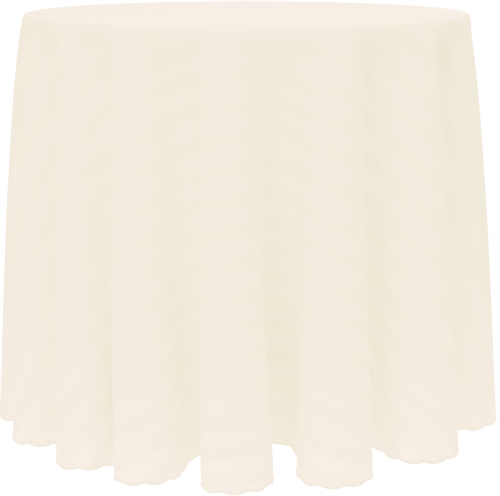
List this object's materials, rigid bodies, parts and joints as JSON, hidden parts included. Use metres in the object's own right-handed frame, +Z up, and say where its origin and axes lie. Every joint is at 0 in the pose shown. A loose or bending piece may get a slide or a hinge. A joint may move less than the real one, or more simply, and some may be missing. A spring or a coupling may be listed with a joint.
{
  "type": "tablecloth on a table",
  "caption": "Round pedestal table covered by a floor-length round tablecloth that hangs in deep soft folds, for setting things on.",
  "frame": {"origin": "centre of the footprint on the floor, on the column's axis", "axes": "+Z up; the front of the cloth faces -Y; +X to the right seen from the front"},
  "size_m": [0.9843, 0.994, 0.75],
  "materials": {
    "cloth": "self-striped satin weave, satin bands between matte bands",
    "edging": "overlocked thread, slight sheen",
    "label": "blank woven tape",
    "core": "raw chipboard",
    "laminate": "smooth wood-tone laminate",
    "backing": "matte brown backing sheet",
    "moulding": "black vinyl, slight sheen",
    "casting": "black powder coat, fine texture",
    "tube": "black powder coat",
    "zinc": "zinc plated",
    "nylon": "grey nylon"
  },
  "bodies": {
    "root": {"tablecloth": "cloth", "hem_edging": "edging", "care_label": "label", "top_core_board": "core", "top_laminate": "laminate", "top_backing_sheet": "backing", "edge_moulding": "moulding", "top_spider": "casting", "column_tube": "tube", "tie_rod": "zinc", "upper_washer": "zinc", "upper_nut": "zinc", "lower_washer": "zinc", "lower_nut": "zinc", "base_casting": "casting", "spider_screw_1": "zinc", "spider_screw_2": "zinc", "spider_screw_3": "zinc", "spider_screw_4": "zinc", "spider_screw_5": "zinc", "spider_screw_6": "zinc", "spider_screw_7": "zinc", "spider_screw_8": "zinc"},
    "glide_1_foot": {"glide_1_pad": "nylon"},
    "glide_1_screw": {"glide_1_stem": "zinc"},
    "glide_2_foot": {"glide_2_pad": "nylon"},
    "glide_2_screw": {"glide_2_stem": "zinc"},
    "glide_3_foot": {"glide_3_pad": "nylon"},
    "glide_3_screw": {"glide_3_stem": "zinc"},
    "glide_4_foot": {"glide_4_pad": "nylon"},
    "glide_4_screw": {"glide_4_stem": "zinc"}
  },
  "joints": [
    {"name": "glide_1_travel", "type": "slide", "parent": "root", "child": "glide_1_foot", "axis": [0, 0, -1], "range_m": [0, 0.012]},
    {"name": "glide_1_turn", "type": "hinge", "parent": "glide_1_foot", "child": "glide_1_screw", "pos_m": [0.18986, -0.18986, 0.02], "axis": [0, 0, -1], "range_deg": [0, 3456]},
    {"name": "glide_2_travel", "type": "slide", "parent": "root", "child": "glide_2_foot", "axis": [0, 0, -1], "range_m": [0, 0.012]},
    {"name": "glide_2_turn", "type": "hinge", "parent": "glide_2_foot", "child": "glide_2_screw", "pos_m": [0.18986, 0.18986, 0.02], "axis": [0, 0, -1], "range_deg": [0, 3456]},
    {"name": "glide_3_travel", "type": "slide", "parent": "root", "child": "glide_3_foot", "axis": [0, 0, -1], "range_m": [0, 0.012]},
    {"name": "glide_3_turn", "type": "hinge", "parent": "glide_3_foot", "child": "glide_3_screw", "pos_m": [-0.18986, 0.18986, 0.02], "axis": [0, 0, -1], "range_deg": [0, 3456]},
    {"name": "glide_4_travel", "type": "slide", "parent": "root", "child": "glide_4_foot", "axis": [0, 0, -1], "range_m": [0, 0.012]},
    {"name": "glide_4_turn", "type": "hinge", "parent": "glide_4_foot", "child": "glide_4_screw", "pos_m": [-0.18986, -0.18986, 0.02], "axis": [0, 0, -1], "range_deg": [0, 3456]}
  ],
  "couplings": [
    {"joint": "glide_1_turn", "follows": "glide_1_travel", "rad_per_m": 5026.5},
    {"joint": "glide_2_turn", "follows": "glide_2_travel", "rad_per_m": 5026.5},
    {"joint": "glide_3_turn", "follows": "glide_3_travel", "rad_per_m": 5026.5},
    {"joint": "glide_4_turn", "follows": "glide_4_travel", "rad_per_m": 5026.5}
  ]
}
